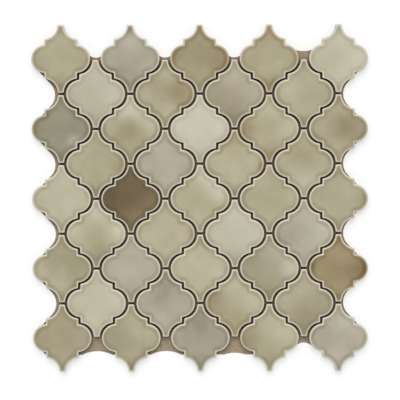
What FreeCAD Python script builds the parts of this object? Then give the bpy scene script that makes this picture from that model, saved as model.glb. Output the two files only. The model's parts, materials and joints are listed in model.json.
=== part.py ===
import FreeCAD, Part
import math
import os
import Sketcher
from FreeCAD import Placement, Rotation, Vector

# Arabesque mosaic sheet: rows of glazed lantern tiles glued face up on one thin backing sheet.
# Lengths are millimetres. The sheet lies flat and its bed face is at Z = 0. The origin is under the
# centre of the middle tile, +Y runs up the sheet to row 1 and +Z points out of the glazed faces.

os.makedirs("parts", exist_ok=True)
document = FreeCAD.newDocument("arabesque_mosaic_sheet")

# Driving sizes, each set by itself
DRIVING_SIZES = [
    ("column_pitch", 64.1, "centre to centre of neighbouring tiles in a row"),
    ("row_pitch", 64.6, "centre to centre of a tile and the next one straight above it"),
    ("joint_width", 2.0, "open grout joint between tiles"),
    ("tip_width", 5.6, "flat end of the pointed tips"),
    ("lobe_radius", 13.0, "round lobe at each side of a tile"),
    ("tile_thickness", 6.5, "bed face of a tile to its glazed face"),
    ("cushion_width", 2.6, "slope round the glazed face, measured across the face"),
    ("cushion_drop", 1.0, "slope round the glazed face, measured down the side"),
    ("backing_thickness", 0.5, "backing sheet"),
    ("side_reach", 23.3, "backing under the end tiles, from their centres out to the sides"),
    ("top_reach", 16.0, "backing under row 1, from its centres upwards"),
    ("bottom_reach", 16.5, "backing below the centres of the last row"),
    ("side_cut_radius", 15.0, "round bottom of each cut in the two sides of the backing"),
    ("side_cut_angle", 43.0, "degrees, slope of the flanks of a side cut"),
    ("left_margin", 3.2, "backing left showing past the tips in a cut in the left side"),
    ("left_cut_fall", 0.6, "cuts in the left side, below the joints between the end tiles"),
    ("right_margin", 2.1, "backing left showing past the tips in a cut in the right side"),
    ("end_cut_radius", 9.5, "round bottom of each deep cut in the top and bottom of the backing"),
    ("end_cut_angle", 27.0, "degrees, slope of the flanks of the cuts in the top and bottom"),
    ("top_margin", 2.6, "backing left showing past the tips in a deep cut in the top"),
    ("last_margin", 6.4, "the same in the deep cut in the bottom, at its last gap"),
    ("wide_cut_radius", 30.0, "round bottom of each shallow cut in the top and bottom"),
    ("top_wide_margin", 8.2, "backing left showing past the tip in the shallow cut in the top"),
    ("bottom_margin", 14.0, "the same in the first two shallow cuts in the bottom"),
    ("third_margin", 15.8, "the same in the third"),
]

# Sizes that follow from the driving ones, so that neighbouring tiles keep their joint
DERIVED_SIZES = [
    ("half_column", "=column_pitch / 2"),
    ("half_row", "=row_pitch / 2"),
    ("tile_width", "=column_pitch - tip_width - 2 * joint_width"),
    ("half_height", "=(row_pitch - joint_width) / 2"),
    ("lobe_centre", "=tile_width / 2 - lobe_radius"),
    ("notch_half", "=(half_column - joint_width) / 2"),
    ("neck_radius", "=lobe_radius"),
    ("cut_depth", "=half_column"),
]

sheet = document.addObject("Spreadsheet::Sheet", "sizes")
for line, (alias, number, meaning) in enumerate(DRIVING_SIZES, start=1):
    sheet.set(f"A{line}", meaning)
    sheet.set(f"B{line}", str(number))
    sheet.setAlias(f"B{line}", alias)
for line, (alias, formula) in enumerate(DERIVED_SIZES, start=len(DRIVING_SIZES) + 1):
    sheet.set(f"A{line}", "derived")
    sheet.set(f"B{line}", formula)
    sheet.setAlias(f"B{line}", alias)
document.recompute()

# Rows of a half-drop layout: wide rows of five tiles alternate with rows of four
ROWS = 9
WIDE_ROW_TILES = 5

# How a sketch numbers its own axes and the points of an edge
X_AXIS, Y_AXIS = range(-1, -3, -1)
START, END, CENTRE = range(1, 4)
ORIGIN = (X_AXIS, START)


def size(alias):
    """The number that the sizes sheet holds under this alias."""
    return float(sheet.get(alias))


def new_body(name):
    """An empty body whose label names its exported file."""
    body = document.addObject("PartDesign::Body", name)
    body.Label = name
    return body


def new_sketch(body, name):
    """A sketch on the body's own XY plane."""
    plane = next(item for item in body.Origin.OriginFeatures if item.Role == "XY_Plane")
    sketch = body.newObject("Sketcher::SketchObject", name)
    sketch.AttachmentSupport = (plane, [""])
    sketch.MapMode = "FlatFace"
    return sketch


def size_constraint(sketch, expression, *arguments):
    """Add a dimension to the sketch and bind it to an expression on the sizes sheet."""
    index = sketch.addConstraint(Sketcher.Constraint(*arguments))
    sketch.setExpression(f"Constraints[{index}]", expression)


def arc_between(centre, radius, first, last):
    """A counter-clockwise arc about centre that starts and ends in the directions of two points."""
    circle = Part.Circle(Vector(*centre, 0), Vector(0, 0, 1), radius)
    first_angle = math.atan2(first[1] - centre[1], first[0] - centre[0])
    last_angle = math.atan2(last[1] - centre[1], last[0] - centre[0])
    if last_angle <= first_angle:
        last_angle += 2 * math.pi
    return Part.ArcOfCircle(circle, first_angle, last_angle)


def line_between(first, last):
    """A straight edge between two points."""
    return Part.LineSegment(Vector(*first, 0), Vector(*last, 0))


def lantern_outline(sketch):
    """Draw the lantern: a round lobe at each side, hollow necks and flat tips above and below.

    A neck is the hollow that the lobe of the next tile sits in, so it has the lobe's radius and its
    centre is level with the tip. A short straight notch joins each lobe to each neck. The corners go
    round counter-clockwise from the top of the right lobe, three to a quarter.
    """
    lobe_x = size("lobe_centre")
    lobe_r = size("lobe_radius")
    neck_r = size("neck_radius")
    notch_x = size("notch_half")
    tip_x = size("tip_width") / 2
    tip_y = size("half_height")
    neck_x = tip_x + neck_r
    lobe_y = math.sqrt(lobe_r ** 2 - (notch_x - lobe_x) ** 2)
    neck_y = tip_y - math.sqrt(neck_r ** 2 - (notch_x - neck_x) ** 2)

    quarter = [(notch_x, lobe_y), (notch_x, neck_y), (tip_x, tip_y)]
    upper_half = quarter + [(-x, y) for x, y in reversed(quarter)]
    corners = upper_half + [(-x, -y) for x, y in upper_half]
    kinds = ["notch", "neck", "tip", "neck", "notch", "lobe"] * 2
    edges = []
    first_points = []
    last_points = []
    for i, kind in enumerate(kinds):
        here = corners[i]
        there = corners[(i + 1) % len(corners)]
        x_sign = math.copysign(1, here[0])
        y_sign = math.copysign(1, here[1])
        if kind == "neck":
            edge = arc_between((x_sign * neck_x, y_sign * tip_y), neck_r, there, here)
        elif kind == "lobe":
            edge = arc_between((x_sign * lobe_x, 0), lobe_r, here, there)
        else:
            edge = line_between(here, there)
        edges.append(sketch.addGeometry(edge))
        first_points.append((edges[i], END if kind == "neck" else START))
        last_points.append((edges[i], START if kind == "neck" else END))
    for i, point in enumerate(first_points):
        sketch.addConstraint(Sketcher.Constraint("Coincident", *last_points[i - 1], *point))

    # The quarters mirror each other, so the sizes are given in the first one only
    for i in range(3):
        for one, other, axis in ((i, 5 - i, Y_AXIS), (i, 11 - i, X_AXIS), (5 - i, 6 + i, X_AXIS)):
            sketch.addConstraint(
                Sketcher.Constraint("Symmetric", *first_points[one], *first_points[other], axis))
    lobe_end, _, tip_end, left_tip_end = first_points[:4]
    neck = edges[1]
    lobe = edges[11]
    sketch.addConstraint([
        Sketcher.Constraint("Vertical", edges[0]),
        Sketcher.Constraint("Horizontal", neck, CENTRE, *tip_end),
        Sketcher.Constraint("Equal", lobe, edges[5]),
        Sketcher.Constraint("Equal", neck, edges[3]),
        Sketcher.Constraint("Equal", neck, edges[7]),
        Sketcher.Constraint("Equal", neck, edges[9]),
    ])
    size_constraint(sketch, "sizes.lobe_radius", "Radius", lobe, lobe_r)
    size_constraint(sketch, "sizes.neck_radius", "Radius", neck, neck_r)
    size_constraint(sketch, "sizes.lobe_centre", "DistanceX", *ORIGIN, lobe, CENTRE, lobe_x)
    size_constraint(sketch, "sizes.notch_half", "DistanceX", *ORIGIN, *lobe_end, notch_x)
    size_constraint(sketch, "sizes.tip_width", "DistanceX", *left_tip_end, *tip_end, 2 * tip_x)
    size_constraint(sketch, "sizes.half_height", "DistanceY", *ORIGIN, *tip_end, tip_y)


def lantern_tile(name, columns_right, rows_up):
    """One pressed and glazed tile: flat back, straight sides and a sloped cushion round its face.

    Its place is given in half pitches from the middle tile.
    """
    body = new_body(name)
    outline = new_sketch(body, name + "_outline")
    lantern_outline(outline)
    pad = body.newObject("PartDesign::Pad", name + "_pad")
    pad.Profile = outline
    pad.setExpression("Length", "sizes.tile_thickness")
    document.recompute()
    face_index = max(range(len(pad.Shape.Faces)), key=lambda i: pad.Shape.Faces[i].CenterOfMass.z)
    cushion = body.newObject("PartDesign::Chamfer", name + "_cushion")
    cushion.Base = (pad, [f"Face{face_index + 1}"])
    cushion.ChamferType = "Two distances"
    cushion.setExpression("Size", "sizes.cushion_drop")
    cushion.setExpression("Size2", "sizes.cushion_width")
    body.Tip = cushion
    body.setExpression("Placement.Base.x", f"{columns_right} * sizes.half_column")
    body.setExpression("Placement.Base.y", f"{rows_up} * sizes.half_row")
    body.setExpression("Placement.Base.z", "sizes.backing_thickness")
    return body


def trim_cut(body, name, turn, x_expression, y_expression, radius_alias, angle_alias):
    """Cut one hollow into the edge of the backing, open away from the sheet.

    The cut is a V with a round bottom. Its lowest point is at the given place, and it opens along
    +Y before it is turned by so many degrees about Z.
    """
    radius = size(radius_alias)
    slope = math.radians(size(angle_alias))
    depth = size("cut_depth")
    foot_x = radius * math.sin(slope)
    foot_y = radius * (1 - math.cos(slope))
    mouth_x = foot_x + (depth - foot_y) / math.tan(slope)
    sketch = new_sketch(body, name + "_profile")
    bottom = sketch.addGeometry(arc_between((0, radius), radius, (-foot_x, foot_y), (foot_x, foot_y)))
    right = sketch.addGeometry(line_between((foot_x, foot_y), (mouth_x, depth)))
    mouth = sketch.addGeometry(line_between((mouth_x, depth), (-mouth_x, depth)))
    left = sketch.addGeometry(line_between((-mouth_x, depth), (-foot_x, foot_y)))
    sketch.addConstraint([
        Sketcher.Constraint("Tangent", bottom, END, right, START),
        Sketcher.Constraint("Coincident", right, END, mouth, START),
        Sketcher.Constraint("Coincident", mouth, END, left, START),
        Sketcher.Constraint("Tangent", left, END, bottom, START),
        Sketcher.Constraint("PointOnObject", bottom, CENTRE, Y_AXIS),
        Sketcher.Constraint("Symmetric", mouth, START, mouth, END, Y_AXIS),
    ])
    size_constraint(sketch, f"sizes.{radius_alias}", "Radius", bottom, radius)
    size_constraint(sketch, f"sizes.{radius_alias}", "DistanceY", *ORIGIN, bottom, CENTRE, radius)
    size_constraint(sketch, "sizes.cut_depth", "DistanceY", *ORIGIN, mouth, START, depth)
    size_constraint(sketch, f"sizes.{angle_alias}", "Angle", X_AXIS, START, right, START, slope)
    sketch.AttachmentOffset = Placement(Vector(), Rotation(Vector(0, 0, 1), turn))
    sketch.setExpression("AttachmentOffset.Base.x", x_expression)
    sketch.setExpression("AttachmentOffset.Base.y", y_expression)
    pocket = body.newObject("PartDesign::Pocket", name)
    pocket.Profile = sketch
    pocket.Type = "ThroughAll"
    pocket.Midplane = True
    body.Tip = pocket


def backing_sheet():
    """The sheet under the tiles: a rectangle whose edge is cut back between the outer tiles."""
    body = new_body("backing_sheet")
    outer_column = WIDE_ROW_TILES - 1
    outer_row = ROWS // 2
    blank = new_sketch(body, "backing_blank_outline")
    side = outer_column * size("half_column") + size("side_reach")
    top = outer_row * size("half_row") + size("top_reach")
    bottom = outer_row * size("half_row") + size("bottom_reach")
    corners = [(-side, -bottom), (side, -bottom), (side, top), (-side, top)]
    edges = [blank.addGeometry(line_between(corners[i - 1], corners[i])) for i in range(4)]
    for i in range(4):
        blank.addConstraint([
            Sketcher.Constraint("Coincident", edges[i], END, edges[(i + 1) % 4], START),
            Sketcher.Constraint("Vertical" if i % 2 == 0 else "Horizontal", edges[i]),
        ])
    side_size = f"{outer_column} * sizes.half_column + sizes.side_reach"
    size_constraint(blank, side_size, "DistanceX", edges[1], START, *ORIGIN, side)
    size_constraint(blank, side_size, "DistanceX", *ORIGIN, edges[1], END, side)
    size_constraint(blank, f"{outer_row} * sizes.half_row + sizes.top_reach",
                    "DistanceY", *ORIGIN, edges[3], START, top)
    size_constraint(blank, f"{outer_row} * sizes.half_row + sizes.bottom_reach",
                    "DistanceY", edges[1], START, *ORIGIN, bottom)
    pad = body.newObject("PartDesign::Pad", "backing_blank")
    pad.Profile = blank
    pad.setExpression("Length", "sizes.backing_thickness")

    # Each side is cut back level with every gap between two end tiles, and at the bottom corner
    tip_side = f"{outer_column} * sizes.half_column + sizes.tip_width / 2"
    for number, rows_up in enumerate(range(-outer_row - 1, outer_row, 2), start=1):
        height = f"{rows_up} * sizes.half_row"
        trim_cut(body, f"left_trim_{number}", 90, f"-({tip_side} + sizes.left_margin)",
                 f"{height} - sizes.left_cut_fall", "side_cut_radius", "side_cut_angle")
        trim_cut(body, f"right_trim_{number}", -90, f"{tip_side} + sizes.right_margin", height,
                 "side_cut_radius", "side_cut_angle")

    # The top is cut back between the tiles of row 1 and at both corners, least in its last gap
    row_end = f"{outer_row} * sizes.half_row - sizes.joint_width / 2"
    last_gap = outer_column - 1
    for number, columns_right in enumerate(range(-outer_column - 1, outer_column + 2, 2), start=1):
        margin, radius = ("top_margin", "end_cut_radius")
        if columns_right == last_gap:
            margin, radius = ("top_wide_margin", "wide_cut_radius")
        trim_cut(body, f"top_trim_{number}", 0, f"{columns_right} * sizes.half_column",
                 f"{row_end} + sizes.{margin}", radius, "end_cut_angle")

    # The bottom is cut in low arches between the tiles of the last row, and deepest in its last gap
    bottom_cuts = [
        ("bottom_margin", "wide_cut_radius"),
        ("bottom_margin", "wide_cut_radius"),
        ("third_margin", "wide_cut_radius"),
        ("last_margin", "end_cut_radius"),
    ]
    for number, (margin, radius) in enumerate(bottom_cuts, start=1):
        columns_right = 2 * number - outer_column - 1
        trim_cut(body, f"bottom_trim_{number}", 180, f"{columns_right} * sizes.half_column",
                 f"-({row_end} + sizes.{margin})", radius, "end_cut_angle")
    return body


pieces = [backing_sheet()]
for row in range(ROWS):
    rows_up = ROWS // 2 - row
    tiles_in_row = WIDE_ROW_TILES - row % 2
    for place in range(tiles_in_row):
        columns_right = 2 * place - (tiles_in_row - 1)
        pieces.append(lantern_tile(f"tile_row{row + 1}_{place + 1}", columns_right, rows_up))
document.recompute()

for item in document.Objects:
    if "Invalid" in item.State or "Error" in item.State:
        raise RuntimeError(f"{item.Label} did not compute: {item.State}")
for piece in pieces:
    if piece.Shape.isNull() or not piece.Shape.isValid():
        raise RuntimeError(f"{piece.Label} has no valid shape")
    piece.Shape.exportStep(f"parts/{piece.Label}.step")
print(len(pieces), "pieces written")
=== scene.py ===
import json
import math

import bpy
import numpy as np
from mathutils import Euler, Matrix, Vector


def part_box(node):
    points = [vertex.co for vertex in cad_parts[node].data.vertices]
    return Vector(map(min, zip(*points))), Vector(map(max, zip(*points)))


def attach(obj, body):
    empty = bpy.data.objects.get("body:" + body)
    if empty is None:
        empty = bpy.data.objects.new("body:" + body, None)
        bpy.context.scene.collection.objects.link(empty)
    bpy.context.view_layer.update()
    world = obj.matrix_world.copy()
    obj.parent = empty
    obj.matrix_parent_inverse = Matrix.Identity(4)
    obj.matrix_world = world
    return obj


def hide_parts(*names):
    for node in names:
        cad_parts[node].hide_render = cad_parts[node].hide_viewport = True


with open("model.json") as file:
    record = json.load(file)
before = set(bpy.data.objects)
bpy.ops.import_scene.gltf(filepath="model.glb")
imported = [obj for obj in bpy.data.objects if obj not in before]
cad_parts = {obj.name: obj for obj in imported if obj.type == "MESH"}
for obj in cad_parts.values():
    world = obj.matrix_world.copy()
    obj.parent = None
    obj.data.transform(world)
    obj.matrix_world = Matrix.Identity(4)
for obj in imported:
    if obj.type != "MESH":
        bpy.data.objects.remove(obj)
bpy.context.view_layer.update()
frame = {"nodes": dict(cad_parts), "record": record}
MM = 0.001


# Glazed tiles. Each is one dust-pressed stoneware lantern, dipped in a runny reactive glaze and fired. The
# glaze pulls thin and pale over the arris, with a painted highlight on that cream, pools darker just inside
# it and in the necks, and clouds across the face. Down the sides the thick dark run-off carries painted
# shade.
# The foot of the sides stays bare biscuit, and the flat back is glued to the backing sheet.
middle_low, middle_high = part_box("tile_row5_3")
TILE_WIDTH = middle_high[0] - middle_low[0]
TILE_HEIGHT = middle_high[1] - middle_low[1]
BED_HEIGHT = middle_low[2]
FACE_HEIGHT = middle_high[2]

# The rest of the outline and the slope of the cushion, in the sizes of the part's source
LOBE_RADIUS = 13.0 * MM
NECK_RADIUS = LOBE_RADIUS
TIP_WIDTH = 5.6 * MM
NOTCH_HALF = 15.025 * MM
CUSHION_WIDTH = 2.6 * MM
CUSHION_DROP = 1.0 * MM

FOOT_BEVEL = 0.4 * MM
CORNER_PASSES = 2
QUARTER_STEPS = {"lobe": 24, "notch": 8, "neck": 24, "tip": 4}
SIDE_SHARES = (0.25, 0.5, 0.75, 0.9, 1.0)
CUSHION_RINGS = 10
FACE_RINGS = 13

# Rim distances in millimetres given to the underside and to the foot's edge, both inside the bare biscuit
UNDERSIDE_RIM = -7.0
FOOT_RIM = -6.6


def along(first, last, steps):
    """Even steps from first up to, and not including, last, as a column for whole-array sums."""
    return first + (last - first) * np.arange(steps)[:, None] / steps


def lantern_ring(inset):
    """The lantern outline moved inwards by inset, counter-clockwise, as an array of points.

    One quarter is a lobe arc from the side to the notch, the straight notch, the hollow neck arc up to the
    tip and half the flat tip. Moving inwards makes the lobe's radius smaller and the neck's larger about the
    same centres, and the corners are where the moved edges meet. The other quarters are mirror images. Each
    pass of a 1-2-1 average round the ring then rounds the corners.
    """
    lobe_x = TILE_WIDTH / 2 - LOBE_RADIUS
    neck_x = TIP_WIDTH / 2 + NECK_RADIUS
    neck_y = TILE_HEIGHT / 2
    lobe_r = LOBE_RADIUS - inset
    neck_r = NECK_RADIUS + inset
    notch_x = NOTCH_HALF - inset
    tip_y = TILE_HEIGHT / 2 - inset
    lobe_turn = math.acos((notch_x - lobe_x) / lobe_r)
    notch_low = lobe_r * math.sin(lobe_turn)
    notch_high = neck_y - math.sqrt(neck_r ** 2 - (notch_x - neck_x) ** 2)
    tip_x = neck_x - math.sqrt(neck_r ** 2 - inset ** 2)
    neck_first = math.atan2(notch_high - neck_y, notch_x - neck_x)
    neck_last = math.atan2(tip_y - neck_y, tip_x - neck_x)
    if neck_last > 0:
        neck_last -= 2 * math.pi
    lobe = along(0.0, lobe_turn, QUARTER_STEPS["lobe"])
    neck = along(neck_first, neck_last, QUARTER_STEPS["neck"])
    quarter = np.concatenate([
        np.hstack([lobe_x + lobe_r * np.cos(lobe), lobe_r * np.sin(lobe)]),
        along(np.array([notch_x, notch_low]), np.array([notch_x, notch_high]), QUARTER_STEPS["notch"]),
        np.hstack([neck_x + neck_r * np.cos(neck), neck_y + neck_r * np.sin(neck)]),
        along(np.array([tip_x, tip_y]), np.array([0.0, tip_y]), QUARTER_STEPS["tip"]),
        [[0.0, tip_y]],
    ])
    left = quarter[::-1] * (-1, 1)
    half = np.concatenate([quarter[:-1], left[:-1]])
    ring = np.concatenate([half, -half])
    for _ in range(CORNER_PASSES):
        ring = (np.roll(ring, 1, axis=0) + 2 * ring + np.roll(ring, -1, axis=0)) / 4
    return ring


def lantern_surface():
    """Points, faces and rim distances of one tile about its own centre, as whole arrays.

    The surface is a stack of closed rings: round the bare foot, up the side, over the cushion, whose height
    follows a quarter of an ellipse from the side to the face, and then the last inset ring scaled step by
    step to the middle. Two poles close it. The rim distance is in millimetres: across the face from the
    arris, and negative down the side.
    """
    side_top = FACE_HEIGHT - CUSHION_DROP
    foot_top = BED_HEIGHT + FOOT_BEVEL
    cushion = 1 - np.cos(np.linspace(0, math.pi / 2, CUSHION_RINGS + 1))[1:]
    rings = [(lantern_ring(FOOT_BEVEL), BED_HEIGHT, UNDERSIDE_RIM), (lantern_ring(0.0), foot_top, FOOT_RIM)]
    for share in SIDE_SHARES:
        height = foot_top + share * (side_top - foot_top)
        rings.append((lantern_ring(0.0), height, (height - side_top) / MM))
    for part in cushion:
        height = side_top + CUSHION_DROP * math.sqrt(1 - (1 - part) ** 2)
        rings.append((lantern_ring(part * CUSHION_WIDTH), height, part * CUSHION_WIDTH / MM))
    last_ring = lantern_ring(CUSHION_WIDTH)
    outline = lantern_ring(0.0)
    for scale in np.linspace(1, 0, FACE_RINGS + 2)[1:-1]:
        rings.append((last_ring * scale, FACE_HEIGHT, np.nan))
    points = np.array([np.column_stack([ring, np.full(len(ring), height)]) for ring, height, _ in rings])
    count = points.shape[1]
    poles = np.array([[0, 0, BED_HEIGHT], [0, 0, FACE_HEIGHT]])
    points = np.concatenate([points.reshape(-1, 3), poles])

    # Across the flat face the rim distance is the way to the nearest point of the outline
    nearest = np.linalg.norm(points[:, None, :2] - outline[None], axis=2).min(axis=1) / MM
    known = np.append(np.repeat([distance for *_, distance in rings], count), [UNDERSIDE_RIM, np.nan])
    rim = np.where(np.isnan(known), nearest, known)
    low = np.arange(count * (len(rings) - 1))
    high = low + count
    turn = np.where(low % count == count - 1, low + 1 - count, low + 1)
    quads = np.column_stack([low, turn, turn + count, high])
    first = np.arange(count)
    following = np.roll(first, -1)
    last = first + count * (len(rings) - 1)
    bottom_pole, top_pole = len(points) - 2, len(points) - 1
    bottom = np.column_stack([following, first, np.full(count, bottom_pole)])
    top = np.column_stack([last, np.roll(last, -1), np.full(count, top_pole)])
    return points, quads.tolist() + bottom.tolist() + top.tolist(), rim


def linear(colour):
    """A linear colour with alpha from an sRGB hex value."""
    parts = [int(colour[i:i + 2], 16) / 255 for i in (1, 3, 5)]
    return [p / 12.92 if p <= 0.04045 else ((p + 0.055) / 1.055) ** 2.4 for p in parts] + [1.0]


def add_node(owner, kind, settings=None, **inputs):
    """Add a node to a material or the world, set its options, and fill its inputs with values or links.

    An input goes by its name, with underscores for spaces, or by i and its number.
    """
    tree = owner.node_tree
    node = tree.nodes.new(kind)
    for name, value in (settings or {}).items():
        setattr(node, name, value)
    for name, value in inputs.items():
        numbered = name[0] == "i" and name[1:].isdigit()
        socket = node.inputs[int(name[1:])] if numbered else node.inputs[name.replace("_", " ")]
        if isinstance(value, bpy.types.NodeSocket):
            tree.links.new(value, socket)
        else:
            socket.default_value = value
    return node


def new_material(name):
    """An empty node material with its output node."""
    material = bpy.data.materials.new(name)
    material.use_nodes = True
    material.node_tree.nodes.clear()
    return material, material.node_tree.nodes.new("ShaderNodeOutputMaterial")


# Sizes of the glaze's patterns. The real fleck is finer than the 0.9 mm that a pixel of the picture covers,
# so it is drawn just coarse enough to show.
CLOUD_SIZE = 22.2 * MM
RUN_SIZE = 13.33 * MM
GLAZE_FLECK_SIZE = 1.111 * MM
WAVE_SIZE = 8.33 * MM
WAVE_HEIGHT = 0.06 * MM
WAVE_STRENGTH = 0.6

# Rim distances in millimetres at which the glaze changes, from the foot to the middle of the face
BARE_FULL = -4.6
BARE_END = -4.2
# The run's dark is partly painted shade of the joints and of the arris turning down, and reaches just over
# the arris
RUN_AND_SHADE_FULL = -0.5
RUN_AND_SHADE_END = 0.45
# Over the break the cream is partly thin glaze and partly a painted highlight
BREAK_AND_HIGHLIGHT_FULL = 0.8
BREAK_AND_HIGHLIGHT_END = 1.6
POOL_START = 1.4
POOL_DEEPEST = 2.6
POOL_END = 6.5

# How strongly clouds, fleck, pools and iron show
CLOUD_DEPTH = 0.12
FLECK_DEPTH = 0.055
POOL_LEAST = 0.15
POOL_MOST = 0.65
IRON_ON_FACE = 0.5
IRON_IN_POOLS = 1.2
IRON_ON_RIM = 0.55

# Most values of a noise texture lie in the narrow span, and the wide one gives less contrast
NARROW_SPAN = {"From_Min": 0.35, "From_Max": 0.65}
WIDE_SPAN = {"From_Min": 0.3, "From_Max": 0.7}

GLAZE_ROUGHNESS = 0.14
BISCUIT_ROUGHNESS = 0.75
GLAZE_IOR = 1.52
# The break colour is the thin glaze's cream with a painted highlight added to it
BREAK_AND_HIGHLIGHT_COLOUR = "#d6cfbe"
BODY_COLOUR = "#b5a79a"
# The run colour is the dark run-off, darkened further as painted shade of the joints and the arris
RUN_AND_SHADE_COLOUR = "#604b2e"
BISCUIT_COLOUR = "#95846a"


def glazed_stoneware(name, face_colour, pool_colour, pale_colour, iron_colour):
    """Glossy runny glaze over stoneware: creamy with a painted highlight over the arris, darker where it
    pools.

    The eye gets a wet, slightly wavy gloss, a thin cream line along the arris that is partly thin glaze and
    partly a painted highlight, soft clouds, brown where iron came through, and a fine fleck.
    """
    smooth = {"interpolation_type": "SMOOTHSTEP"}
    material, output = new_material(name)
    rim = add_node(material, "ShaderNodeAttribute", {"attribute_name": "rim_distance"}).outputs["Fac"]
    blush = add_node(material, "ShaderNodeAttribute", {"attribute_name": "blush"}).outputs["Fac"]
    iron = add_node(material, "ShaderNodeAttribute", {"attribute_name": "iron"}).outputs["Fac"]
    thin = add_node(material, "ShaderNodeAttribute", {"attribute_name": "thin"}).outputs["Fac"]
    place = add_node(material, "ShaderNodeTexCoord").outputs["Object"]
    clouds = add_node(material, "ShaderNodeTexNoise", Vector=place, Scale=1 / CLOUD_SIZE, Detail=2.0,
                      Roughness=0.5)
    runs = add_node(material, "ShaderNodeTexNoise", Vector=place, Scale=1 / RUN_SIZE, Detail=1.0,
                    Roughness=0.5)
    fleck = add_node(material, "ShaderNodeTexNoise", Vector=place, Scale=1 / GLAZE_FLECK_SIZE, Detail=2.0,
                     Roughness=0.6)
    cloud_share = add_node(material, "ShaderNodeMapRange", smooth, Value=clouds.outputs["Fac"],
                           To_Min=-CLOUD_DEPTH, To_Max=CLOUD_DEPTH, **NARROW_SPAN)
    fleck_share = add_node(material, "ShaderNodeMapRange", Value=fleck.outputs["Fac"], To_Min=-FLECK_DEPTH,
                           To_Max=FLECK_DEPTH, **WIDE_SPAN)

    # The pool starts inside the arris, fades over the next 4 mm, and is unevenly deep along the edge
    pool_in = add_node(material, "ShaderNodeMapRange", smooth, Value=rim, From_Min=POOL_START,
                       From_Max=POOL_DEEPEST)
    pool_out = add_node(material, "ShaderNodeMapRange", smooth, Value=rim, From_Min=POOL_DEEPEST,
                        From_Max=POOL_END, To_Min=1.0, To_Max=0.0)
    pool_depth = add_node(material, "ShaderNodeMapRange", Value=runs.outputs["Fac"], To_Min=POOL_LEAST,
                          To_Max=POOL_MOST, **NARROW_SPAN)
    pool = add_node(material, "ShaderNodeMath", {"operation": "MULTIPLY"}, i0=pool_in.outputs["Result"],
                    i1=pool_out.outputs["Result"])
    deep_pool = add_node(material, "ShaderNodeMath", {"operation": "MULTIPLY"}, i0=pool.outputs[0],
                         i1=pool_depth.outputs["Result"])
    depth = add_node(material, "ShaderNodeMath", {"operation": "ADD"}, i0=deep_pool.outputs[0],
                     i1=cloud_share.outputs["Result"])
    depth = add_node(material, "ShaderNodeMath", {"operation": "ADD"}, i0=depth.outputs[0],
                     i1=fleck_share.outputs["Result"])
    depth = add_node(material, "ShaderNodeMath", {"operation": "ADD"}, i0=depth.outputs[0], i1=blush)
    dark_share = add_node(material, "ShaderNodeMapRange", Value=depth.outputs[0], From_Max=1.0)
    pale_share = add_node(material, "ShaderNodeMapRange", Value=depth.outputs[0], From_Max=-1.0)
    darker = add_node(material, "ShaderNodeMix", {"data_type": "RGBA"}, Factor=dark_share.outputs["Result"],
                      i6=linear(face_colour), i7=linear(pool_colour))
    paler = add_node(material, "ShaderNodeMix", {"data_type": "RGBA"}, Factor=pale_share.outputs["Result"],
                     i6=darker.outputs[2], i7=linear(pale_colour))

    # Where the glaze is thin the pinkish body shows, and iron browns the face a little and its pools a lot
    rosy = add_node(material, "ShaderNodeMix", {"data_type": "RGBA"}, Factor=thin, i6=paler.outputs[2],
                    i7=linear(BODY_COLOUR))
    iron_pool = add_node(material, "ShaderNodeMapRange", Value=pool.outputs[0], To_Min=IRON_ON_FACE,
                         To_Max=IRON_IN_POOLS)
    iron_share = add_node(material, "ShaderNodeMath", {"operation": "MULTIPLY", "use_clamp": True}, i0=iron,
                          i1=iron_pool.outputs["Result"])
    ironed = add_node(material, "ShaderNodeMix", {"data_type": "RGBA"}, Factor=iron_share.outputs[0],
                      i6=rosy.outputs[2], i7=linear(iron_colour))

    # Over the arris the glaze is thin and the light body shows, with a painted highlight in its cream, and
    # below it the run-off is thick and dark, darkened further as painted shade that reaches just over the
    # arris
    break_and_highlight_share = add_node(material, "ShaderNodeMapRange", smooth, Value=rim, From_Min=BREAK_AND_HIGHLIGHT_FULL,
                         From_Max=BREAK_AND_HIGHLIGHT_END, To_Min=1.0, To_Max=0.0)
    iron_rim = add_node(material, "ShaderNodeMapRange", Value=iron, To_Max=IRON_ON_RIM)
    rim_break_and_highlight_colour = add_node(material, "ShaderNodeMix", {"data_type": "RGBA"}, i6=linear(BREAK_AND_HIGHLIGHT_COLOUR),
                          i7=linear(iron_colour), Factor=iron_rim.outputs["Result"])
    break_and_highlight_mixed = add_node(material, "ShaderNodeMix", {"data_type": "RGBA"}, Factor=break_and_highlight_share.outputs["Result"],
                      i6=ironed.outputs[2], i7=rim_break_and_highlight_colour.outputs[2])
    run_and_shade_share = add_node(material, "ShaderNodeMapRange", smooth, Value=rim, From_Min=RUN_AND_SHADE_FULL,
                         From_Max=RUN_AND_SHADE_END, To_Min=1.0, To_Max=0.0)
    side = add_node(material, "ShaderNodeMix", {"data_type": "RGBA"}, Factor=run_and_shade_share.outputs["Result"],
                    i6=break_and_highlight_mixed.outputs[2], i7=linear(RUN_AND_SHADE_COLOUR))

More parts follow.
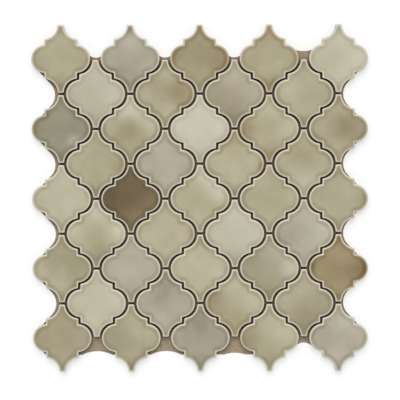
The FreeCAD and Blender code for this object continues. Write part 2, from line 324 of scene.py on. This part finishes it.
    # The glaze stops short of the foot, and the bare biscuit below it is rough
    bare_share = add_node(material, "ShaderNodeMapRange", Value=rim, From_Min=BARE_FULL, From_Max=BARE_END,
                          To_Min=1.0, To_Max=0.0)
    colour = add_node(material, "ShaderNodeMix", {"data_type": "RGBA"}, Factor=bare_share.outputs["Result"],
                      i6=side.outputs[2], i7=linear(BISCUIT_COLOUR))
    gloss = add_node(material, "ShaderNodeMapRange", Value=bare_share.outputs["Result"],
                     To_Min=GLAZE_ROUGHNESS, To_Max=BISCUIT_ROUGHNESS)
    waves = add_node(material, "ShaderNodeTexNoise", Vector=place, Scale=1 / WAVE_SIZE, Detail=1.0)
    bump = add_node(material, "ShaderNodeBump", Height=waves.outputs["Fac"], Strength=WAVE_STRENGTH,
                    Distance=WAVE_HEIGHT)
    shader = add_node(material, "ShaderNodeBsdfPrincipled", Base_Color=colour.outputs[2],
                      Roughness=gloss.outputs["Result"], IOR=GLAZE_IOR, Normal=bump.outputs["Normal"])
    material.node_tree.links.new(shader.outputs[0], output.inputs["Surface"])
    return material


# The material of each glaze, with its face, pool, pale and iron colours
GLAZE_COLOURS = {
    "pale_glaze": ("pale_celadon_glaze_on_stoneware", "#bab69d", "#989278", "#d0cdbb", "#a28c60"),
    "sage_glaze": ("sage_glaze_on_stoneware", "#aea789", "#877d5e", "#cbc7b2", "#8d713e"),
    "olive_glaze": ("olive_glaze_on_stoneware", "#a39b7d", "#7c714f", "#c7c3ad", "#7e6030"),
    "stone_glaze": ("warm_stone_glaze_on_stoneware", "#aaa38e", "#827765", "#cac6b6", "#8b7050"),
    "moss_glaze": ("moss_grey_glaze_on_stoneware", "#918c74", "#6f684f", "#bab7a3", "#745f36"),
    "honey_glaze": ("honey_brown_glaze_on_stoneware", "#958660", "#6f5a36", "#ada080", "#654a22"),
    "umber_glaze": ("umber_glaze_on_stoneware", "#715e3c", "#4a3a1c", "#8e7c5c", "#45310f"),
}
GLAZES = {slot: glazed_stoneware(*colours) for slot, colours in GLAZE_COLOURS.items()}

# Kiln marks of single tiles, placed and corrected one by one: what the glaze does there, the place from the
# tile's centre and the radius in millimetres, and how strong it is. Deep glaze is darker, pale glaze milky,
# thin glaze lets the pinkish body through, and iron is brown. Every tile's tips hold a little deep glaze.
TIP_POOLS = [("deep", 0, 28, 7, 0.2), ("deep", 0, -28, 7, 0.35)]
KILN_MARKS = {
    "tile_row1_1": [("deep", -20, -3, 11, 0.35), ("pale", 0, 18, 12, 0.2), ("iron", 2, 0, 22, 0.12),
                    ("deep", 2, -20, 12, 0.15), ("deep", 22, -4, 8, 0.2)],
    "tile_row1_2": [("deep", -10, -14, 14, 0.25), ("pale", 0, 16, 10, 0.5), ("pale", 14, 2, 12, 0.1),
                    ("deep", 0, 0, 22, 0.12), ("deep", 0, 26, 5, 0.3), ("deep", 2, -20, 10, 0.1)],
    "tile_row1_3": [("iron", 20, 0, 15, 0.7), ("iron", -2, -4, 16, 0.4), ("iron", -22, 4, 10, 0.6),
                    ("iron", 2, 20, 12, 0.3), ("pale", 0, -20, 10, 0.2)],
    "tile_row1_4": [("iron", 24, 1, 9, 0.4), ("iron", 0, -24, 10, 0.5), ("iron", 4, 22, 13, 0.35),
                    ("iron", -18, 0, 12, 0.3), ("iron", 0, 0, 20, 0.15), ("deep", 8, -18, 7, 0.25)],
    "tile_row1_5": [("pale", 20, 2, 12, 0.35), ("pale", 0, 0, 24, 0.1), ("pale", 0, -18, 12, 0.2),
                    ("iron", -4, 0, 16, 0.2), ("pale", 0, 18, 12, 0.3)],
    "tile_row2_1": [("pale", 16, 3, 13, 0.25), ("deep", 0, -22, 10, 0.2), ("thin", 0, 0, 30, 0.2),
                    ("deep", -16, 0, 12, 0.15), ("pale", 0, 18, 10, 0.15)],
    "tile_row2_2": [("iron", 12, 1, 11, 0.8), ("iron", -6, -2, 22, 0.3), ("pale", -16, -3, 12, 0.4),
                    ("pale", 2, -18, 12, 0.6), ("pale", 2, 20, 9, 0.35)],
    "tile_row2_3": [("deep", -5, -15, 14, 0.6), ("pale", 18, 6, 12, 0.35), ("pale", 0, 18, 12, 0.3),
                    ("thin", 0, 0, 26, 0.35), ("deep", -18, 2, 10, 0.25), ("deep", 0, 2, 12, 0.12)],
    "tile_row2_4": [("pale", -14, 6, 13, 0.4), ("deep", 20, -2, 10, 0.3), ("iron", -3, -27, 6, 0.4),
                    ("deep", -3, -26, 6, 0.4), ("deep", 2, 0, 12, 0.25), ("thin", 0, 0, 24, 0.1)],
    "tile_row3_1": [("iron", -22, 3, 9, 0.6), ("iron", -14, 14, 7, 0.5), ("pale", 13, -12, 6, 0.6),
                    ("deep", 0, -2, 12, 0.15), ("deep", 0, -24, 8, 0.2)],
    "tile_row3_2": [("pale", 0, 20, 13, 1.1), ("pale", 20, 4, 11, 0.5), ("pale", -21, 4, 10, 0.4),
                    ("deep", -2, -2, 11, 0.2), ("iron", -2, -1, 13, 0.35), ("pale", 0, -20, 10, 0.2)],
    "tile_row3_3": [("pale", 0, 4, 26, 0.5), ("deep", 0, -25, 10, 0.2), ("pale", -20, 2, 8, 0.35),
                    ("pale", 20, 2, 8, 0.3), ("pale", 0, 22, 8, 0.2)],
    "tile_row3_4": [("iron", -20, 0, 8, 0.7), ("deep", -21, -1, 6, 0.15), ("iron", 0, -24, 9, 0.4),
                    ("deep", 0, -24, 8, 0.3), ("pale", 18, 4, 14, 0.4), ("iron", 0, 0, 22, 0.3),
                    ("pale", 0, 18, 10, 0.35), ("deep", -3, 0, 10, 0.1)],
    "tile_row3_5": [("deep", 4, 1, 12, 0.45), ("pale", -16, 0, 12, 0.2), ("iron", -2, 0, 22, 0.25),
                    ("iron", 23, -2, 8, 0.2), ("pale", 0, -18, 12, 0.45), ("pale", 0, 20, 10, 0.2)],
    "tile_row4_1": [("deep", 20, -1, 10, 0.3), ("deep", 0, -22, 10, 0.25), ("iron", 22, 0, 7, 0.3),
                    ("deep", 0, 0, 14, 0.12), ("iron", 0, 0, 24, 0.1)],
    "tile_row4_2": [("pale", -2, 2, 24, 0.15), ("iron", 0, 0, 28, 0.15), ("pale", 0, 19, 9, 0.2),
                    ("pale", 0, -19, 9, 0.25)],
    "tile_row4_3": [("pale", -6, 0, 20, 0.3), ("iron", 25, -2, 6, 0.7), ("pale", 18, 2, 8, 0.3),
                    ("iron", 0, 18, 14, 0.35), ("iron", 0, 0, 20, 0.15)],
    "tile_row4_4": [("deep", 2, 6, 13, 0.35), ("pale", 0, -18, 12, 0.55), ("iron", 0, 4, 22, 0.25),
                    ("iron", 0, -20, 10, 0.15)],
    "tile_row5_1": [("deep", -20, -3, 10, 0.2), ("iron", 0, 4, 26, 0.15)],
    "tile_row5_2": [("deep", -17, 2, 12, 0.5), ("deep", 0, 20, 12, 0.3), ("pale", 8, -17, 12, 0.55),
                    ("iron", -4, 2, 16, 0.4), ("pale", 20, 0, 8, 0.2)],
    "tile_row5_3": [("pale", 10, 16, 10, 0.8), ("pale", 21, 3, 8, 0.7), ("pale", 2, -18, 12, 0.3),
                    ("pale", 0, 24, 9, 0.7), ("deep", -6, 0, 12, 0.15), ("iron", -6, -2, 16, 0.1)],
    "tile_row5_4": [("deep", -6, 0, 14, 0.15), ("pale", 0, -18, 10, 0.2)],
    "tile_row5_5": [("deep", 21, -2, 11, 0.4), ("iron", 25, -2, 6, 0.4), ("deep", -14, 2, 14, 0.3),
                    ("deep", 0, -20, 12, 0.12), ("thin", 0, 0, 24, 0.1), ("deep", 0, 18, 10, 0.12)],
    "tile_row6_1": [("pale", -20, 3, 10, 0.5), ("pale", 20, 4, 12, 0.7), ("pale", 0, 21, 12, 0.7),
                    ("deep", 2, -17, 13, 0.4), ("deep", 2, 0, 8, 0.12)],
    "tile_row6_2": [("pale", -4, 0, 22, 0.25), ("iron", 24, 0, 7, 0.5), ("pale", -15, -6, 8, 0.15),
                    ("iron", -2, 0, 24, 0.25), ("pale", 18, 0, 8, 0.2)],
    "tile_row6_3": [("pale", 4, 8, 20, 0.4), ("deep", 0, -22, 11, 0.25), ("pale", 0, 20, 10, 0.3),
                    ("pale", 20, 0, 8, 0.25), ("thin", 0, 0, 30, 0.2)],
    "tile_row6_4": [("deep", -17, 2, 12, 0.2), ("pale", 18, 2, 13, 0.6), ("pale", 0, 18, 10, 0.3),
                    ("iron", 16, 0, 12, 0.1)],
    "tile_row7_1": [("pale", -18, -2, 12, 0.25), ("deep", 14, 8, 14, 0.25), ("pale", 0, -18, 12, 0.25),
                    ("iron", 4, 14, 14, 0.15), ("pale", 0, 0, 9, 0.15)],
    "tile_row7_2": [("pale", 4, 0, 20, 0.35), ("iron", -6, 4, 28, 0.22)],
    "tile_row7_3": [("pale", 4, 0, 24, 0.35), ("pale", 18, -2, 10, 0.2), ("pale", 0, -20, 8, 0.15)],
    "tile_row7_4": [("deep", -14, 5, 14, 0.35), ("pale", 20, 0, 10, 0.8), ("deep", 0, -20, 12, 0.3),
                    ("pale", 2, 18, 11, 0.3), ("thin", 2, 6, 20, 0.3)],
    "tile_row7_5": [("iron", 21, -1, 10, 1.0), ("iron", -25, 2, 6, 0.6), ("pale", 0, 16, 12, 0.3),
                    ("deep", 4, 0, 12, 0.15), ("pale", 0, -20, 10, 0.4), ("pale", -16, 0, 8, 0.15)],
    "tile_row8_1": [("pale", 18, 7, 12, 0.45), ("pale", -2, -16, 12, 0.2), ("iron", 0, 6, 22, 0.12)],
    "tile_row8_2": [("deep", 0, 16, 12, 0.5), ("deep", -3, 2, 12, 0.2), ("pale", 0, -20, 10, 0.2)],
    "tile_row8_3": [("iron", -21, 2, 9, 0.45), ("deep", -18, 1, 10, 0.5), ("pale", 16, 3, 12, 0.45),
                    ("pale", 0, 18, 12, 0.25), ("iron", 0, -16, 14, 0.5), ("iron", 2, 4, 16, 0.2)],
    "tile_row8_4": [("deep", 2, -18, 12, 0.4), ("deep", 0, 0, 14, 0.3), ("pale", -12, 7, 12, 0.25),
                    ("pale", 0, 18, 12, 0.35), ("thin", 0, 0, 26, 0.12)],
    "tile_row9_1": [("deep", -20, -2, 11, 0.25), ("iron", -4, 6, 14, 0.3), ("deep", 16, -2, 13, 0.25),
                    ("thin", 18, -4, 14, 0.25), ("pale", 0, -19, 10, 0.2)],
    "tile_row9_2": [("deep", -18, 0, 12, 0.2), ("pale", 7, 12, 14, 0.3), ("pale", 19, 0, 10, 0.15)],
    "tile_row9_3": [("deep", 0, 15, 14, 0.5), ("deep", 2, -4, 26, 0.3)],
    "tile_row9_4": [("deep", -20, -2, 11, 0.5), ("iron", -23, -2, 8, 0.4), ("pale", 16, 5, 12, 0.45),
                    ("deep", 0, -20, 10, 0.25), ("pale", 2, 18, 10, 0.25)],
    "tile_row9_5": [("deep", -10, 0, 16, 0.1), ("pale", 3, 18, 12, 0.4), ("pale", 0, -18, 12, 0.35),
                    ("pale", 18, 0, 10, 0.15)],
}

tile_points, tile_faces, rim_distance = lantern_surface()
glaze_of_node = {part["node"]: part["material_slot"] for part in frame["record"]["subparts"]}
for node_name, slot_name in glaze_of_node.items():
    if not node_name.startswith("tile_"):
        continue
    low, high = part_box(node_name)
    centre = np.array([(low[0] + high[0]) / 2, (low[1] + high[1]) / 2, 0.0])
    mesh = bpy.data.meshes.new(node_name + "_glazed")
    mesh.from_pydata((tile_points + centre).tolist(), [], tile_faces)
    mesh.shade_smooth()
    marks = {kind: np.zeros(len(tile_points)) for kind in ("deep", "pale", "thin", "iron")}
    for kind, x, y, radius, amount in TIP_POOLS + KILN_MARKS[node_name]:
        away = np.hypot(tile_points[:, 0] / MM - x, tile_points[:, 1] / MM - y) / radius
        marks[kind] += amount * np.exp(-away ** 2)
    mesh_values = {
        "rim_distance": rim_distance,
        "blush": marks["deep"] - marks["pale"],
        "thin": marks["thin"],
        "iron": marks["iron"],
    }
    for name, values in mesh_values.items():
        mesh.attributes.new(name, "FLOAT", "POINT").data.foreach_set("value", values)
    mesh.materials.append(GLAZES[slot_name])
    tile = bpy.data.objects.new(node_name + "_glazed", mesh)
    bpy.context.collection.objects.link(tile)
    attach(tile, "root")
    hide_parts(node_name)


# Backing sheet. Taken to be brown fibre paper, a little rough and felted, cut to the tiles with a knife. All
# the tiles are glued to its upper side, and it shows in the joints and between the tiles of the edges.
PAPER_FLECK_SIZE = 1.4286 * MM
PAPER_PATCH_SIZE = 8.33 * MM
PATCH_MOST = 0.5
FELT_HEIGHT = 0.2 * MM
FELT_STRENGTH = 0.8
PAPER_ROUGHNESS = 0.85
PAPER_IOR = 1.45

# How far off a tile still closes the paper in, and how open the paper is where the painted shade is full and
# ends
PAINTED_SHADE_REACH = 4.0 * MM
PAINTED_SHADE_SAMPLES = 8
PAINTED_SHADE_FULL = 0.2
PAINTED_SHADE_END = 0.8
DARK_FIBRE = "#8e7c67"
LIGHT_FIBRE = "#b6a58e"
PATCH_COLOUR = "#a29378"
# The colour of the painted shade on the paper
PAINTED_SHADE_COLOUR = "#6c5535"


def fibre_paper(name):
    """Matt brown paper with dark and light flecks of fibre 1 to 2 mm across and a soft felted surface."""
    material, output = new_material(name)
    place = add_node(material, "ShaderNodeTexCoord").outputs["Object"]
    flecks = add_node(material, "ShaderNodeTexNoise", Vector=place, Scale=1 / PAPER_FLECK_SIZE, Detail=3.0,
                      Roughness=0.7)
    patches = add_node(material, "ShaderNodeTexNoise", Vector=place, Scale=1 / PAPER_PATCH_SIZE, Detail=2.0)
    fleck_share = add_node(material, "ShaderNodeMapRange", Value=flecks.outputs["Fac"], **NARROW_SPAN)
    patch_share = add_node(material, "ShaderNodeMapRange", Value=patches.outputs["Fac"], To_Max=PATCH_MOST,
                           **NARROW_SPAN)
    flecked = add_node(material, "ShaderNodeMix", {"data_type": "RGBA"}, i6=linear(DARK_FIBRE),
                       i7=linear(LIGHT_FIBRE), Factor=fleck_share.outputs["Result"])
    paper = add_node(material, "ShaderNodeMix", {"data_type": "RGBA"}, Factor=patch_share.outputs["Result"],
                     i6=flecked.outputs[2], i7=linear(PATCH_COLOUR))

    # The paper is painted darker where tiles close it in, in the joints and next to the tiles: this is
    # painted shade. The stain is a guess: the joints are dark, and their cause can't be seen.
    openness = add_node(material, "ShaderNodeAmbientOcclusion", {"samples": PAINTED_SHADE_SAMPLES},
                        Distance=PAINTED_SHADE_REACH)
    unshaded_share = add_node(material, "ShaderNodeMapRange", Value=openness.outputs["AO"],
                           From_Min=PAINTED_SHADE_FULL, From_Max=PAINTED_SHADE_END)
    colour = add_node(material, "ShaderNodeMix", {"data_type": "RGBA"}, Factor=unshaded_share.outputs["Result"],
                      i6=linear(PAINTED_SHADE_COLOUR), i7=paper.outputs[2])
    bump = add_node(material, "ShaderNodeBump", Height=flecks.outputs["Fac"], Strength=FELT_STRENGTH,
                    Distance=FELT_HEIGHT)
    shader = add_node(material, "ShaderNodeBsdfPrincipled", Base_Color=colour.outputs[2],
                      Roughness=PAPER_ROUGHNESS, IOR=PAPER_IOR, Normal=bump.outputs["Normal"])
    material.node_tree.links.new(shader.outputs[0], output.inputs["Surface"])
    return material


backing = frame["nodes"]["backing_sheet"]
backing.data.materials.clear()
backing.data.materials.append(fibre_paper("brown_fibre_paper"))


# Studio. A white table, one large soft lamp from the top of the picture, a plain pale surround that is white
# to the eye and in mirrors but lights at half strength, and the camera looking straight down.
FLOOR_HALF = 3.0
FLOOR_GLOW = 0.55
TABLE_COLOUR = "#b6b6b6"
WORLD_STRENGTH = 0.5
LAMP_ENERGY = 1.95
LAMP_ANGLE = math.radians(50)
LAMP_FROM = Vector((-0.12, 0.85, 1.15))


def seen_share(owner):
    """1 for rays from the eye, from a mirror and through glass, and 0 for the rays that light the tiles."""
    rays = add_node(owner, "ShaderNodeLightPath")
    mirrored = add_node(owner, "ShaderNodeMath", {"operation": "MAXIMUM"}, i0=rays.outputs["Is Camera Ray"],
                        i1=rays.outputs["Is Glossy Ray"])
    through = add_node(owner, "ShaderNodeMath", {"operation": "MAXIMUM"}, i0=mirrored.outputs[0],
                       i1=rays.outputs["Is Transmission Ray"])
    return through.outputs[0]


def white_table(name):
    """Matt white that reaches white in the picture and still takes the tiles' shadow."""
    material, output = new_material(name)
    matt = add_node(material, "ShaderNodeBsdfDiffuse", Color=linear(TABLE_COLOUR))
    lift = add_node(material, "ShaderNodeMath", {"operation": "MULTIPLY"}, i0=seen_share(material),
                    i1=FLOOR_GLOW)
    glow = add_node(material, "ShaderNodeEmission", Color=(1, 1, 1, 1), Strength=lift.outputs[0])
    both = add_node(material, "ShaderNodeAddShader", i0=matt.outputs[0], i1=glow.outputs[0])
    material.node_tree.links.new(both.outputs[0], output.inputs["Surface"])
    return material


floor_mesh = bpy.data.meshes.new("table")
floor_mesh.from_pydata(
    [(-FLOOR_HALF, -FLOOR_HALF, 0), (FLOOR_HALF, -FLOOR_HALF, 0), (FLOOR_HALF, FLOOR_HALF, 0),
     (-FLOOR_HALF, FLOOR_HALF, 0)], [], [(0, 1, 2, 3)])
floor_mesh.materials.append(white_table("matt_white_table"))
floor = bpy.data.objects.new("table", floor_mesh)
bpy.context.collection.objects.link(floor)

world = bpy.data.worlds.new("pale_surround")
bpy.context.scene.world = world
world.use_nodes = True
world.node_tree.nodes.clear()
level = add_node(world, "ShaderNodeMapRange", Value=seen_share(world), To_Min=WORLD_STRENGTH, To_Max=1.0)
surround = add_node(world, "ShaderNodeBackground", Color=(1, 1, 1, 1), Strength=level.outputs["Result"])
add_node(world, "ShaderNodeOutputWorld", Surface=surround.outputs[0])

lamp_data = bpy.data.lights.new("large_softbox", "SUN")
lamp_data.energy = LAMP_ENERGY
lamp_data.angle = LAMP_ANGLE
lamp = bpy.data.objects.new("large_softbox", lamp_data)
lamp.rotation_euler = LAMP_FROM.to_track_quat("Z", "Y").to_euler()
bpy.context.collection.objects.link(lamp)

# The lamp isn't mirrored in the glaze, where its image would cover whole faces
lamp.visible_glossy = False

# The camera's place in metres, its turn in radians and its focal length in pixels, fitted by least squares
# to where the tiles stand in the photograph
CAMERA_PLACE = (-0.00103, 0.03339, 1.2)
CAMERA_TURN = Euler((-0.02905, -0.00093, -0.00281), "XYZ")
FOCAL_PIXELS = 1290.9
PICTURE_PIXELS = 400
SENSOR_WIDTH = 36.0
camera_data = bpy.data.cameras.new("camera")
camera_data.sensor_width = SENSOR_WIDTH
camera_data.lens = SENSOR_WIDTH * FOCAL_PIXELS / PICTURE_PIXELS
camera = bpy.data.objects.new("camera", camera_data)
camera.location = CAMERA_PLACE
camera.rotation_euler = CAMERA_TURN
bpy.context.collection.objects.link(camera)
bpy.context.scene.camera = camera
bpy.context.scene.view_settings.view_transform = "Standard"
